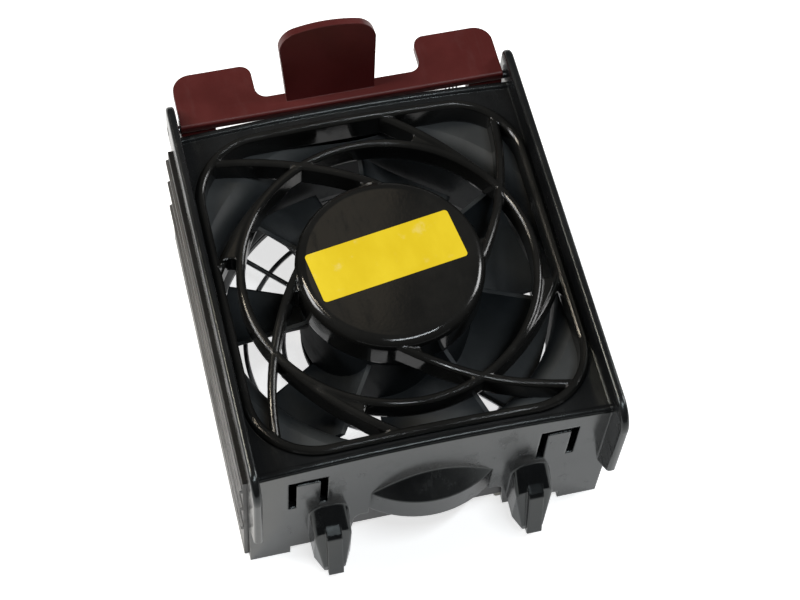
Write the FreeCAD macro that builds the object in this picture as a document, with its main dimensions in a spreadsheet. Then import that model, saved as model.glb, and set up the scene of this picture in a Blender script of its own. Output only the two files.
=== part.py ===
import FreeCAD, Part
import math
import os

import Sketcher

# Hot-plug fan module for a server, lying on its back with the finger guard upward.
# Z runs along the fan's axis. The origin is where that axis meets the plane the module stands on.
# The latch is at the +Y end, the guide hooks are at the -Y end. Sizes are in millimetres.

V = FreeCAD.Vector
doc = FreeCAD.newDocument("fan_module")

SIZES = (
    # moulded shell
    ("shell_depth", 64), ("shell_length", 132), ("flange_gap", 118), ("flange_wall", 3),
    ("flange_rise", 10), ("flange_skirt", 4.5), ("shell_wall", 2.5), ("face_wall", 2.5),
    ("face_crown", 3.4), ("bead_radius", 1.3), ("fin_reach", 8.5), ("fin_drop", 33),
    ("fin_corner", 9), ("ear_reach", 10.5), ("ear_drop", 8), ("ear_corner", 5),
    ("edge_round", 1.2), ("seam_gap", 0.3), ("side_wall", 3), ("side_step", 1.5),
    ("side_tail", -0.3), ("rail_proud", 1), ("rail_width", 2.4), ("rail_low", 42),
    ("rail_middle", 26), ("rail_high", 12), ("rear_lip", 1.3),
    # round belly and openings of the front wall
    ("belly_radius", 35), ("belly_reach", 7), ("belly_top", 17), ("belly_flare", 27),
    ("belly_foot", 39), ("tab_slot_inner", 35.7), ("tab_slot_outer", 48.8),
    ("tab_slot_width", 2.6), ("tab_slot_top", 6), ("tab_slot_foot", 26), ("step_height", 5),
    ("step_width", 48), ("cutout_half", 26), ("cutout_flare", 1.5), ("cutout_height", 21),
    ("cutout_corner", 3),
    # guide hooks
    ("hook_spread", 35), ("hook_width", 13.5), ("hook_height", 30), ("hook_foot", 6),
    ("hook_brow_reach", 7), ("hook_brow_height", 21.5), ("hook_tip_reach", 11.5),
    ("hook_tip_height", 3), ("hook_tip_width", 7.6), ("hook_rib", 5.2), ("hook_rib_proud", 2.6),
    # finger guard
    ("disc_radius", 32), ("disc_rise", 8.5), ("disc_wall", 2.2), ("ring_radius", 50),
    ("ring_rise", 4), ("blade_width", 3), ("blade_depth", 9), ("blade_bevel", 0.9), ("rim_half_x", 56.8),
    ("rim_half_y", 60.4), ("rim_corner", 23), ("rim_width", 3.2), ("rim_rise", 1.8),
    ("rim_depth", 5.6), ("rim_gap", 0.1), ("inner_start", 78), ("inner_sweep", 105), ("outer_start", 33),
    ("outer_end", 10.5), ("web_corner", 1.7),
    # blank sticker
    ("sticker_length", 51.5), ("sticker_height", 19), ("sticker_turn", 8.7), ("sticker_film", 0.2),
    # axial fan
    ("fan_recess", 6), ("fan_depth", 38), ("fan_half", 59.7), ("fan_corner", 4),
    ("fan_flange", 5), ("duct_radius", 57.3), ("duct_wall", 2.9), ("inlet_radius", 64),
    ("inlet_depth", 8), ("hole_pitch", 105), ("hole_radius", 2.15), ("strut_width", 7),
    ("strut_depth", 4), ("strut_angle", -62), ("base_wall", 2.5), ("base_radius", 29.5),
    ("post_radius", 1.3), ("post_ring", 19),
    # rotor and motor
    ("hub_radius", 30), ("hub_wall", 2.3), ("hub_rise", 36.5), ("hub_lift", 8.5),
    ("hub_edge", 2.5), ("hub_boss", 5), ("blade_tip", 56.2), ("blade_middle", 21.3),
    ("blade_root_half", 10.5), ("blade_root_rise", 12), ("blade_tip_half", 17.5),
    ("blade_tip_rise", 10), ("blade_edge", 1.5), ("rotor_turn", 19), ("shaft_radius", 2.5),
    ("running_gap", 0.05), ("bearing_radius", 7), ("bearing_width", 5), ("bearing_low", 5.9),
    ("bearing_high", 19.1), ("tube_wall", 1.5), ("tube_height", 27), ("board_radius", 26),
    ("board_wall", 1.6), ("board_lift", 4.6), ("core_radius", 22), ("core_lift", 10),
    ("core_height", 12), ("pole_width", 5), ("air_gap", 0.7), ("magnet_wall", 3.3),
    ("magnet_height", 16), ("yoke_wall", 1.4),
    # rear tray and what it carries
    ("tray_wall", 2.5), ("apron_half", 30), ("apron_drop", 9.5), ("apron_wall", 1.5),
    ("exhaust_radius", 58.5), ("screw_radius", 1.9), ("wire_radius", 0.9),
    ("pad_gap", 0.2999), ("pad_side", 5.5), ("lead_radius", 0.65), ("lead_gap", 1.6),
    ("lead_inset", 1.20942), ("plug_length", 20), ("plug_depth", 9), ("plug_height", 15.9),
    ("plug_x", 36), ("plug_gap", 0.1), ("screw_length", 13), ("screw_head", 3.6),
    # latch
    ("pivot_back", 6), ("pivot_drop", 2), ("rod_radius", 1.5), ("latch_wall", 3.2),
    ("latch_lift", 0.8), ("latch_gap", 1.2), ("latch_front", 2.5), ("latch_strip", 7.2),
    ("latch_tab_reach", 24), ("latch_tab_inner", 29.6), ("latch_outer_corner", 6.5),
    ("latch_inner_corner", 4), ("latch_round", 1.2), ("thumb_width", 34), ("thumb_shift", -4),
    ("thumb_height", 31), ("thumb_wall", 3.4), ("thumb_lean", 17), ("boss_radius", 3.4),
    ("spring_wire", 0.35),
)

dim = doc.addObject("Spreadsheet::Sheet", "dim")
for line, (alias, number) in enumerate(SIZES, start=1):
    dim.set("A%d" % line, alias)
    dim.set("B%d" % line, str(number))
    dim.setAlias("B%d" % line, alias)
doc.recompute()

NODES = []


def value(expression):
    """The number that an expression on the sheet gives."""
    return float(dim.evalExpression(expression.replace("dim.", "")))


def keep(part, label):
    part.Label = label
    NODES.append(part)
    return part


def new_body(label):
    return keep(doc.addObject("PartDesign::Body", label), label)


def sketch_on(body, plane, name, shift="0", lean=None):
    """A sketch on one of the body's own origin planes, moved along the plane's normal."""
    sketch = body.newObject("Sketcher::SketchObject", name)
    role = plane + "_Plane"
    support = [item for item in body.Origin.OriginFeatures if item.Role == role][0]
    sketch.AttachmentSupport = [(support, "")]
    sketch.MapMode = "FlatFace"
    if lean:
        sketch.AttachmentOffset = FreeCAD.Placement(V(0, 0, 0), FreeCAD.Rotation(V(1, 0, 0), lean))
    sketch.setExpression("AttachmentOffset.Base.z", shift)
    return sketch


def pin(sketch, item, spot, across, up):
    """Hold one point of a sketch at two expressions from the sketch's origin."""
    for kind, axis, expression in (("DistanceX", -2, across), ("DistanceY", -1, up)):
        number = value(expression)
        if abs(number) < 1e-9:
            sketch.addConstraint(Sketcher.Constraint("PointOnObject", item, spot, axis))
            continue
        index = sketch.addConstraint(Sketcher.Constraint(kind, -1, 1, item, spot, number))
        sketch.setExpression("Constraints[%d]" % index, expression)


def draw(sketch, corners):
    """A closed outline. A corner is (across, up). A corner (across, up, radius, turn) starts an arc
    to the next corner, which turns left for 1 and right for -1."""
    spots = [V(value(corner[0]), value(corner[1]), 0) for corner in corners]
    first = sketch.GeometryCount
    ends = []
    for index, corner in enumerate(corners):
        start = spots[index]
        finish = spots[(index + 1) % len(corners)]
        if len(corner) == 2:
            sketch.addGeometry(Part.LineSegment(start, finish), False)
            ends.append((1, 2))
            continue
        radius = value(corner[2])
        chord = finish - start
        side = V(-chord.y, chord.x, 0).normalize() * corner[3]
        centre = (start + finish) * 0.5 + side * math.sqrt(max(radius ** 2 - (chord.Length / 2) ** 2, 0))
        angles = [math.atan2(spot.y - centre.y, spot.x - centre.x) for spot in (start, finish)]
        if corner[3] < 0:
            angles.reverse()
        circle = Part.Circle(centre, V(0, 0, 1), radius)
        arc = sketch.addGeometry(Part.ArcOfCircle(circle, angles[0], angles[1]), False)
        index = sketch.addConstraint(Sketcher.Constraint("Radius", arc, radius))
        sketch.setExpression("Constraints[%d]" % index, corner[2])
        ends.append((1, 2) if corner[3] > 0 else (2, 1))
    for index, corner in enumerate(corners):
        after = (index + 1) % len(corners)
        pin(sketch, first + index, ends[index][0], corner[0], corner[1])
        joint = ("Coincident", first + index, ends[index][1], first + after, ends[after][0])
        sketch.addConstraint(Sketcher.Constraint(*joint))


def draw_circle(sketch, across, up, radius):
    centre = V(value(across), value(up), 0)
    item = sketch.addGeometry(Part.Circle(centre, V(0, 0, 1), value(radius)), False)
    pin(sketch, item, 3, across, up)
    index = sketch.addConstraint(Sketcher.Constraint("Radius", item, value(radius)))
    sketch.setExpression("Constraints[%d]" % index, radius)


def draw_box(sketch, left, right, low, high):
    draw(sketch, [(left, low), (right, low), (right, high), (left, high)])


def draw_rounded_box(sketch, across, up, half_across, half_up, radius):
    """A box with four round corners, centred on (across, up)."""
    left, right = "%s - (%s)" % (across, half_across), "%s + (%s)" % (across, half_across)
    low, high = "%s - (%s)" % (up, half_up), "%s + (%s)" % (up, half_up)
    draw(sketch, [
        ("%s + (%s)" % (left, radius), low), ("%s - (%s)" % (right, radius), low, radius, 1),
        (right, "%s + (%s)" % (low, radius)), (right, "%s - (%s)" % (high, radius), radius, 1),
        ("%s - (%s)" % (right, radius), high), ("%s + (%s)" % (left, radius), high, radius, 1),
        (left, "%s - (%s)" % (high, radius)), (left, "%s + (%s)" % (low, radius), radius, 1)])


def feature(body, kind, sketch, name, **settings):
    made = body.newObject("PartDesign::" + kind, name)
    made.Profile = sketch
    for key, setting in settings.items():
        if isinstance(setting, str) and setting[:1] != "!":
            made.setExpression(key, setting)
        else:
            setattr(made, key, setting[1:] if isinstance(setting, str) else setting)
    return made


def pad(body, sketch, name, length, reverse=False, both=False):
    side = "!Symmetric" if both else "!One side"
    return feature(body, "Pad", sketch, name, Length=length, Reversed=reverse, SideType=side)


def pocket(body, sketch, name, length, reverse=False, both=False):
    side = "!Symmetric" if both else "!One side"
    return feature(body, "Pocket", sketch, name, Length=length, Reversed=reverse, SideType=side)


def turn(body, sketch, name, angle="360", cut=False, axis="V_Axis"):
    kind = "Groove" if cut else "Revolution"
    made = feature(body, kind, sketch, name, Angle=angle, Midplane=True)
    made.ReferenceAxis = (sketch, [axis])
    return made


def upright_axis(sketch, across):
    """A construction line to turn an outline about, away from the fan's own axis."""
    spots = (("0", 1), ("10", 2))
    line = Part.LineSegment(V(value(across), 0, 0), V(value(across), 10, 0))
    item = sketch.addGeometry(line, True)
    for up, spot in spots:
        pin(sketch, item, spot, across, up)


def turned(label, corners):
    """A body of revolution about Z from one (radius, height) outline."""
    body = new_body(label)
    profile = sketch_on(body, "XZ", label + "_profile")
    draw(profile, corners)
    turn(body, profile, label + "_turn")
    return body


def around(body, made, name, count):
    """Repeat the last feature round the fan's axis."""
    pattern = body.newObject("PartDesign::PolarPattern", name)
    pattern.Originals = [made]
    pattern.Axis = (made.Profile[0], ["N_Axis"])
    pattern.Angle = 360
    pattern.Occurrences = count
    body.Tip = pattern
    return pattern


def dress_edges(body, kind, name, size, wanted):
    """Round or bevel the edges of the body's last feature that pass the test."""
    doc.recompute()
    base = body.Tip
    edges = ["Edge%d" % (i + 1) for i, edge in enumerate(base.Shape.Edges) if wanted(edge)]
    made = body.newObject("PartDesign::" + kind, name)
    made.Base = (base, edges)
    made.setExpression("Radius" if kind == "Fillet" else "Size", size)
    return made


def round_edges(body, name, radius, wanted):
    return dress_edges(body, "Fillet", name, radius, wanted)


def bevel_edges(body, name, size, wanted):
    return dress_edges(body, "Chamfer", name, size, wanted)


def solid_part(label, shape, spot=V(0, 0, 0)):
    """A sub-part whose form no sketch feature gives: its shape, then its place."""
    part = keep(doc.addObject("Part::Feature", label), label)
    part.Shape = shape
    part.Placement = FreeCAD.Placement(spot, FreeCAD.Rotation())
    return part


def slanted(along, side):
    """Expressions for a point measured along and across the direction of the lead's strut."""
    return ("(%s) * cos(dim.strut_angle) - (%s) * sin(dim.strut_angle)" % (along, side),
            "(%s) * sin(dim.strut_angle) + (%s) * cos(dim.strut_angle)" % (along, side))


def turned_copies(shape, count):
    step = 360.0 / count
    return [shape.rotated(V(0, 0, 0), V(0, 0, 1), step * index) for index in range(count)]


FACE = "dim.shell_depth"
FAN_TOP = "(dim.shell_depth - dim.fan_recess)"
FAN_BASE = "(dim.shell_depth - dim.fan_recess - dim.fan_depth)"
HALF_LENGTH = "dim.shell_length / 2"
FLANGE_IN = "dim.flange_gap / 2"
FLANGE_OUT = "(dim.flange_gap / 2 + dim.flange_wall)"
SIDE_IN = "(dim.flange_gap / 2 + dim.side_step)"
SIDE_OUT = "(dim.flange_gap / 2 + dim.side_step + dim.side_wall)"
CROWN_HALF = "(dim.flange_gap / 2 + dim.flange_wall / 2)"
CROWN_RADIUS = "((%s ^ 2 + dim.face_crown ^ 2) / (2 * dim.face_crown))" % CROWN_HALF
APRON_BACK = "(-%s + dim.shell_wall + dim.seam_gap + dim.apron_wall)" % HALF_LENGTH
PLUG_Y = "(%s + dim.plug_gap + dim.plug_depth / 2)" % APRON_BACK
LEAD_EXIT = "((%s + dim.lead_inset) / sin(dim.strut_angle))" % PLUG_Y
PIVOT_Y = "(dim.shell_length / 2 + dim.pivot_back)"
PIVOT_Z = "(dim.shell_depth - dim.pivot_drop)"


def crown_at(across):
    """How far the arched face stands above its corners at a distance from the middle."""
    radius = value(CROWN_RADIUS)
    return math.sqrt(radius ** 2 - across ** 2) - radius + value("dim.face_crown")


# --- front shell: arched face, walls, flanges with ears and fins, belly, hooks ---

def arched_top(sketch, half, low, high):
    """An outline with straight sides whose top follows the crown of the face."""
    draw(sketch, [
        ("-" + half, low), (half, low), (half, high, CROWN_RADIUS, 1), ("-" + half, high)])


def face_band(sketch):
    """The arched face's section between the flanges."""
    draw(sketch, [
        ("-" + CROWN_HALF, FACE + " - dim.face_wall", CROWN_RADIUS, -1),
        (CROWN_HALF, FACE + " - dim.face_wall"), (CROWN_HALF, FACE, CROWN_RADIUS, 1),
        ("-" + CROWN_HALF, FACE)])


def flange_outline(sketch):
    """Side view of a flange: fin in front, long straight top, ear behind."""
    front = "-%s - dim.fin_reach" % HALF_LENGTH
    back = "%s + dim.ear_reach" % HALF_LENGTH
    top = "%s + dim.flange_rise" % FACE
    fin = "%s - dim.fin_drop" % FACE
    ear = "%s - dim.ear_drop" % FACE
    inner = "-%s + dim.shell_wall" % HALF_LENGTH
    skirt = "%s - dim.flange_skirt" % FACE
    draw(sketch, [
        (inner, fin + " - dim.fin_reach / 2"), ("-" + HALF_LENGTH, fin + " - dim.fin_reach / 2"),
        (front, fin + " + dim.fin_reach / 2"),
        (front, top + " - dim.fin_corner", "dim.fin_corner", -1), (front + " + dim.fin_corner", top),
        (back + " - dim.ear_corner", top, "dim.ear_corner", -1), (back, top + " - dim.ear_corner"),
        (back, ear + " + dim.ear_corner", "dim.ear_corner", -1), (back + " - dim.ear_corner", ear),
        (HALF_LENGTH, ear), (HALF_LENGTH, skirt), (inner, skirt)])


def add_hook(body, side):
    """A hooded guide hook: an oval foot on the wall, a brow and a narrow tip, with a rib in front."""
    name = "hook_right" if side > 0 else "hook_left"
    centre = "%d * dim.hook_spread" % side
    sections = []
    for level, reach, half_width, height, corner in (
            ("foot", "-dim.shell_wall / 2", "dim.hook_width / 2", "dim.hook_height",
             "dim.hook_width / 2 - 0.5"),
            ("brow", "dim.hook_brow_reach", "dim.hook_width / 2 - 0.4", "dim.hook_brow_height", "3"),
            ("tip", "dim.hook_tip_reach", "dim.hook_tip_width / 2", "dim.hook_tip_height", "1")):
        section = sketch_on(body, "XZ", "%s_%s" % (name, level), "%s + %s" % (HALF_LENGTH, reach))
        draw_rounded_box(section, centre, "dim.hook_foot + (%s) / 2" % height, half_width,
                         "(%s) / 2" % height, corner)
        sections.append(section)
    loft = body.newObject("PartDesign::AdditiveLoft", name)
    loft.Profile = sections[0]
    loft.Sections = sections[1:]
    loft.Ruled = True
    rib = sketch_on(body, "YZ", name + "_rib_outline", centre)
    wall = "-%s + dim.shell_wall / 2" % HALF_LENGTH
    brow = "-%s - dim.hook_brow_reach - dim.hook_rib_proud" % HALF_LENGTH
    tip = "-%s - dim.hook_tip_reach - dim.hook_rib_proud" % HALF_LENGTH
    brow_top = "dim.hook_foot + dim.hook_brow_height"
    draw(rib, [
        (wall, "dim.hook_foot + 0.5"), (wall, brow_top + " + 3.6"),
        ("-%s - dim.hook_brow_reach + 2" % HALF_LENGTH, brow_top + " + 2"),
        (brow + " + 1", brow_top + " + 0.6"), (brow, brow_top + " - 0.6"),
        (tip, "dim.hook_foot + dim.hook_tip_height / 2"), (tip + " + 1", "dim.hook_foot + 0.5")])
    pad(body, rib, name + "_rib", "dim.hook_rib", both=True)


def build_front_shell():
    body = new_body("front_shell")
    face = sketch_on(body, "XZ", "face_section")
    face_band(face)
    pad(body, face, "arched_face", "dim.shell_length", both=True)
    lip = sketch_on(body, "XZ", "rear_lip_section", "-(%s + dim.rear_lip)" % HALF_LENGTH)
    face_band(lip)
    pad(body, lip, "rear_lip_pad", "dim.rear_lip + 1")

    front = sketch_on(body, "XZ", "front_outline", HALF_LENGTH + " - dim.shell_wall")
    arched_top(front, FLANGE_OUT, "0", FACE + " - dim.face_wall / 2")
    pad(body, front, "front_wall", "dim.shell_wall")
    rear = sketch_on(body, "XZ", "rear_outline", "-" + HALF_LENGTH)
    arched_top(rear, "(%s - dim.seam_gap)" % SIDE_IN, "0", FACE + " - dim.face_wall / 2")
    pad(body, rear, "rear_wall", "dim.shell_wall")

    for name, shift in (("flange_right", FLANGE_IN), ("flange_left", "-" + FLANGE_OUT)):
        outline = sketch_on(body, "YZ", name + "_outline", shift)
        flange_outline(outline)
        pad(body, outline, name, "dim.flange_wall")

    # a cone that runs out of the flat wall into a short cylinder; cut hollow afterwards
    belly = sketch_on(body, "YZ", "belly_section")
    reach = "-%s - dim.belly_reach" % HALF_LENGTH
    room = "-%s + dim.shell_wall + 1.5" % HALF_LENGTH
    top, flare, foot = ("%s - dim.belly_%s" % (FACE, level) for level in ("top", "flare", "foot"))
    draw(belly, [
        (room, top), ("-%s + 0.4" % HALF_LENGTH, top), (reach, flare), (reach, foot), (room, foot)])
    belly_axis = "-%s - dim.belly_reach + dim.belly_radius" % HALF_LENGTH
    upright_axis(belly, belly_axis)
    belly_turn = "2 * acos((dim.belly_radius - dim.belly_reach) / dim.belly_radius) + %s deg"
    turn(body, belly, "belly", belly_turn % "2", axis="Axis0")
    hollow = sketch_on(body, "YZ", "belly_hollow_section")
    inside = "-%s - dim.belly_reach + dim.shell_wall" % HALF_LENGTH
    deep = "-%s + 3 * dim.shell_wall" % HALF_LENGTH
    draw(hollow, [
        (deep, top + " + 1"), ("-%s + dim.shell_wall + 0.6" % HALF_LENGTH, top + " + 1"),
        (inside, flare), (inside, foot + " - 1"), (deep, foot + " - 1")])
    upright_axis(hollow, belly_axis)
    turn(body, hollow, "belly_hollow", belly_turn % "4", cut=True, axis="Axis0")

    trim = sketch_on(body, "XZ", "belly_trim", HALF_LENGTH + " - dim.shell_wall")
    draw_box(trim, "-dim.belly_radius", "dim.belly_radius", foot + " - 2",
             "%s - dim.face_wall - 1" % FACE)
    pocket(body, trim, "belly_inside", "4 * dim.shell_wall")

    opening = sketch_on(body, "XY", "guard_opening", FACE + " + dim.flange_rise")
    draw_rounded_box(opening, "0", "0", "dim.rim_half_x + dim.rim_width / 2 + dim.rim_gap",
                     "dim.rim_half_y + dim.rim_width / 2 + dim.rim_gap",
                     "dim.rim_corner + dim.rim_width / 2 + dim.rim_gap")
    pocket(body, opening, "face_opening", "dim.flange_rise + 2 * dim.face_wall")

    slots = sketch_on(body, "XZ", "tab_slots", HALF_LENGTH + " + 1")
    slot_top = "%s - dim.tab_slot_top" % FACE
    slot_foot = "%s - dim.tab_slot_foot" % FACE
    for side in ("1", "-1"):
        inner, outer = ("%s * dim.tab_slot_%s" % (side, edge) for edge in ("inner", "outer"))
        leg = "%s * dim.tab_slot_width" % side
        draw(slots, [
            (inner, slot_foot), (inner, slot_top), (outer, slot_top), (outer, slot_foot),
            ("%s - %s" % (outer, leg), slot_foot),
            ("%s - %s" % (outer, leg), slot_top + " - dim.tab_slot_width"),
            ("%s + %s" % (inner, leg), slot_top + " - dim.tab_slot_width"),
            ("%s + %s" % (inner, leg), slot_foot)])
    pocket(body, slots, "snap_tab_slots", "dim.shell_wall + 1.5")

    hem = sketch_on(body, "XZ", "front_hem", HALF_LENGTH + " + 1")
    belly_half = "sqrt(dim.belly_radius ^ 2 - (dim.belly_radius - dim.belly_reach) ^ 2)"
    high = "%s - dim.belly_foot" % FACE
    low = "dim.cutout_height - dim.cutout_corner"
    flared = "dim.cutout_half + dim.cutout_flare"
    narrow = "dim.cutout_half - dim.cutout_corner"
    draw(hem, [
        ("-dim.step_width", "0"), ("dim.step_width", "0"), ("dim.step_width", "dim.step_height"),
        (flared, "dim.step_height"), ("dim.cutout_half", low, "dim.cutout_corner", 1),
        (narrow, "dim.cutout_height"), (belly_half, "dim.cutout_height"), (belly_half, high),
        ("-" + belly_half, high), ("-" + belly_half, "dim.cutout_height"),
        ("-(%s)" % narrow, "dim.cutout_height", "dim.cutout_corner", 1), ("-dim.cutout_half", low),
        ("-(%s)" % flared, "dim.step_height"), ("-dim.step_width", "dim.step_height")])
    pocket(body, hem, "front_hem_cut", "dim.shell_wall + 1.5")

    bead = sketch_on(body, "YZ", "bead_section")
    axis_height = "%s + dim.face_crown - %s" % (FACE, CROWN_RADIUS)
    inset = "1.15 * dim.bead_radius"
    for across in ("-%s + %s" % (HALF_LENGTH, inset), "%s + dim.rear_lip - %s" % (HALF_LENGTH, inset)):
        draw_circle(bead, across, FACE + " + dim.face_crown - dim.bead_radius / 4", "dim.bead_radius")
    line = Part.LineSegment(V(-10, value(axis_height), 0), V(10, value(axis_height), 0))
    item = bead.addGeometry(line, True)
    pin(bead, item, 1, "-10", axis_height)
    pin(bead, item, 2, "10", axis_height)
    turn(body, bead, "edge_beads", "2 * asin(%s / %s)" % (FLANGE_IN, CROWN_RADIUS), axis="Axis0")

    for side in (1, -1):
        add_hook(body, side)

    pivot = sketch_on(body, "YZ", "pivot_hole")
    draw_circle(pivot, PIVOT_Y, PIVOT_Z, "dim.rod_radius + dim.running_gap / 2")
    pocket(body, pivot, "pivot_holes", "2 * %s + 2" % FLANGE_OUT, both=True)

    top_edge = value(FACE + " + dim.flange_rise") - 1e-3
    round_edges(body, "flange_rounding", "dim.edge_round",
                lambda edge: edge.BoundBox.XLength < 1e-6 and edge.BoundBox.ZMax > top_edge)


# --- rear tray: plate under the fan, side walls with guide rails ---

def build_rear_shell():
    body = new_body("rear_shell")
    plate = sketch_on(body, "XY", "tray_plate", FAN_BASE + " - dim.tray_wall")
    half_x = "%s + dim.side_wall / 2" % SIDE_IN
    half_y = "%s - dim.shell_wall - dim.seam_gap" % HALF_LENGTH
    draw_box(plate, "-(%s)" % half_x, half_x, "-(%s)" % half_y, half_y)
    draw_circle(plate, "0", "0", "dim.exhaust_radius")
    for across in ("0.5", "-0.5"):
        for up in ("0.5", "-0.5"):
            draw_circle(plate, across + " * dim.hole_pitch", up + " * dim.hole_pitch", "dim.hole_radius")
    hole_x, hole_y = slanted(LEAD_EXIT, "0")
    draw_circle(plate, hole_x, hole_y, "4.4 * dim.lead_radius")
    pad(body, plate, "tray", "dim.tray_wall")

    walls = sketch_on(body, "XZ", "side_section", "%s - dim.shell_wall - dim.seam_gap" % HALF_LENGTH)
    top = "%s - dim.flange_skirt - dim.seam_gap" % FACE
    for side in ("1", "-1"):
        inner, outer = "%s * %s" % (side, SIDE_IN), "%s * %s" % (side, SIDE_OUT)
        proud = "%s * (%s + dim.rail_proud)" % (side, SIDE_OUT)
        corners = [(inner, "0"), (outer, "0")]
        for level in ("low", "middle", "high"):
            low = "%s - dim.rail_%s" % (FACE, level)
            high = "%s + dim.rail_width" % low
            corners += [(outer, low), (proud, low + " + dim.rail_proud / 2"),
                        (proud, high + " - dim.rail_proud / 2"), (outer, high)]
        corners += [(outer, top), (inner, top)]
        draw(walls, corners)
    pad(body, walls, "side_walls",
        "dim.shell_length - dim.shell_wall - dim.seam_gap + dim.side_tail", reverse=True)

    apron = sketch_on(body, "XY", "apron_section", FAN_BASE + " - dim.tray_wall")
    draw_box(apron, "-dim.apron_half", "dim.apron_half", "-(%s)" % half_y, APRON_BACK)
    pad(body, apron, "apron", "dim.apron_drop", reverse=True)

    tongues = sketch_on(body, "XY", "tongue_section", FAN_BASE + " - dim.tray_wall / 2")
    back = "-(%s) + dim.tray_wall * 0.6" % half_y
    for side in ("1", "-1"):
        near = "%s * (dim.tab_slot_inner + 1.5 * dim.tab_slot_width)" % side
        far = "%s * (dim.tab_slot_outer - 1.5 * dim.tab_slot_width)" % side
        draw_box(tongues, near, far, "-(%s)" % half_y, back)
    pad(body, tongues, "snap_tongues", "dim.fan_depth - dim.fan_flange")


# --- axial fan frame: square flanges, round duct, struts and motor base ---

def build_fan_frame():
    body = new_body("fan_frame")
    block = sketch_on(body, "XY", "frame_outline", FAN_BASE)
    draw_rounded_box(block, "0", "0", "dim.fan_half", "dim.fan_half", "dim.fan_corner")
    pad(body, block, "frame_block", "dim.fan_depth")

    bore = sketch_on(body, "XZ", "duct_section")
    draw(bore, [
        ("0", FAN_BASE + " - 1"), ("dim.duct_radius + 1.5", FAN_BASE + " - 1"),
        ("dim.duct_radius + 1.5", FAN_BASE), ("dim.duct_radius", FAN_BASE + " + dim.fan_flange"),
        ("dim.duct_radius", FAN_TOP + " - dim.inlet_depth", "1.35 * dim.inlet_depth", -1),
        ("dim.inlet_radius", FAN_TOP), ("dim.inlet_radius", FAN_TOP + " + 1"),
        ("0", FAN_TOP + " + 1")])
    turn(body, bore, "duct", cut=True)

    waist = sketch_on(body, "XZ", "waist_section")
    draw_box(waist, "dim.duct_radius + dim.duct_wall", "2 * dim.fan_half",
             FAN_BASE + " + dim.fan_flange", FAN_TOP + " - dim.fan_flange")
    turn(body, waist, "waist", cut=True)

    base = sketch_on(body, "XY", "motor_base", FAN_BASE)
    draw_circle(base, "0", "0", "dim.base_radius")
    pad(body, base, "motor_base_disc", "dim.base_wall")

    strut = sketch_on(body, "XY", "strut_outline", FAN_BASE)
    inner = "dim.base_radius - 2"
    outer = "dim.duct_radius + dim.duct_wall / 2 + 1"
    half = "dim.strut_width / 2"
    draw(strut, [slanted(inner, "-" + half), slanted(outer, "-" + half),
                 slanted(outer, half), slanted(inner, half)])
    around(body, pad(body, strut, "strut", "dim.strut_depth"), "struts", 4)

    post = sketch_on(body, "XY", "board_post", FAN_BASE + " + dim.base_wall / 2")
    draw_circle(post, "0", "dim.post_ring", "dim.post_radius")
    around(body, pad(body, post, "post", "dim.board_lift - dim.base_wall / 2"), "posts", 3)

    holes = sketch_on(body, "XY", "frame_holes", FAN_TOP + " + 1")
    for across in ("0.5", "-0.5"):
        for up in ("0.5", "-0.5"):
            draw_circle(holes, across + " * dim.hole_pitch", up + " * dim.hole_pitch", "dim.hole_radius")
    pocket(body, holes, "corner_holes", "dim.fan_depth + 2")

    seat = sketch_on(body, "XY", "tube_seat", FAN_BASE + " + dim.fan_depth / 2")
    draw_circle(seat, "0", "0", "dim.bearing_radius + dim.tube_wall")
    pocket(body, seat, "bearing_tube_seat", "dim.fan_depth / 2 + 1")

    notch = sketch_on(body, "XY", "lead_notch", FAN_BASE + " + dim.fan_flange + dim.strut_depth")
    inner = "dim.duct_radius - 2"
    outer = LEAD_EXIT + " + 6"
    half = "0.4 * dim.strut_width"
    draw(notch, [slanted(inner, "-" + half), slanted(outer, "-" + half),
                 slanted(outer, half), slanted(inner, half)])
    pocket(body, notch, "lead_exit", "dim.fan_flange")
    drop = sketch_on(body, "XY", "lead_drop", FAN_BASE + " + dim.fan_flange + 0.5")
    inner = "dim.duct_radius + dim.duct_wall"
    draw(drop, [slanted(inner, "-" + half), slanted(outer, "-" + half),
                slanted(outer, half), slanted(inner, half)])
    pocket(body, drop, "lead_drop_cut", "dim.fan_flange + 1")


# --- finger guard: domed disc, ring, crowned rim and a four-fold swirl of blades ---

def rim_outline(sketch, grow):
    draw_rounded_box(sketch, "0", "0", "dim.rim_half_x + (%s)" % grow, "dim.rim_half_y + (%s)" % grow,
                     "dim.rim_corner + (%s)" % grow)


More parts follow.
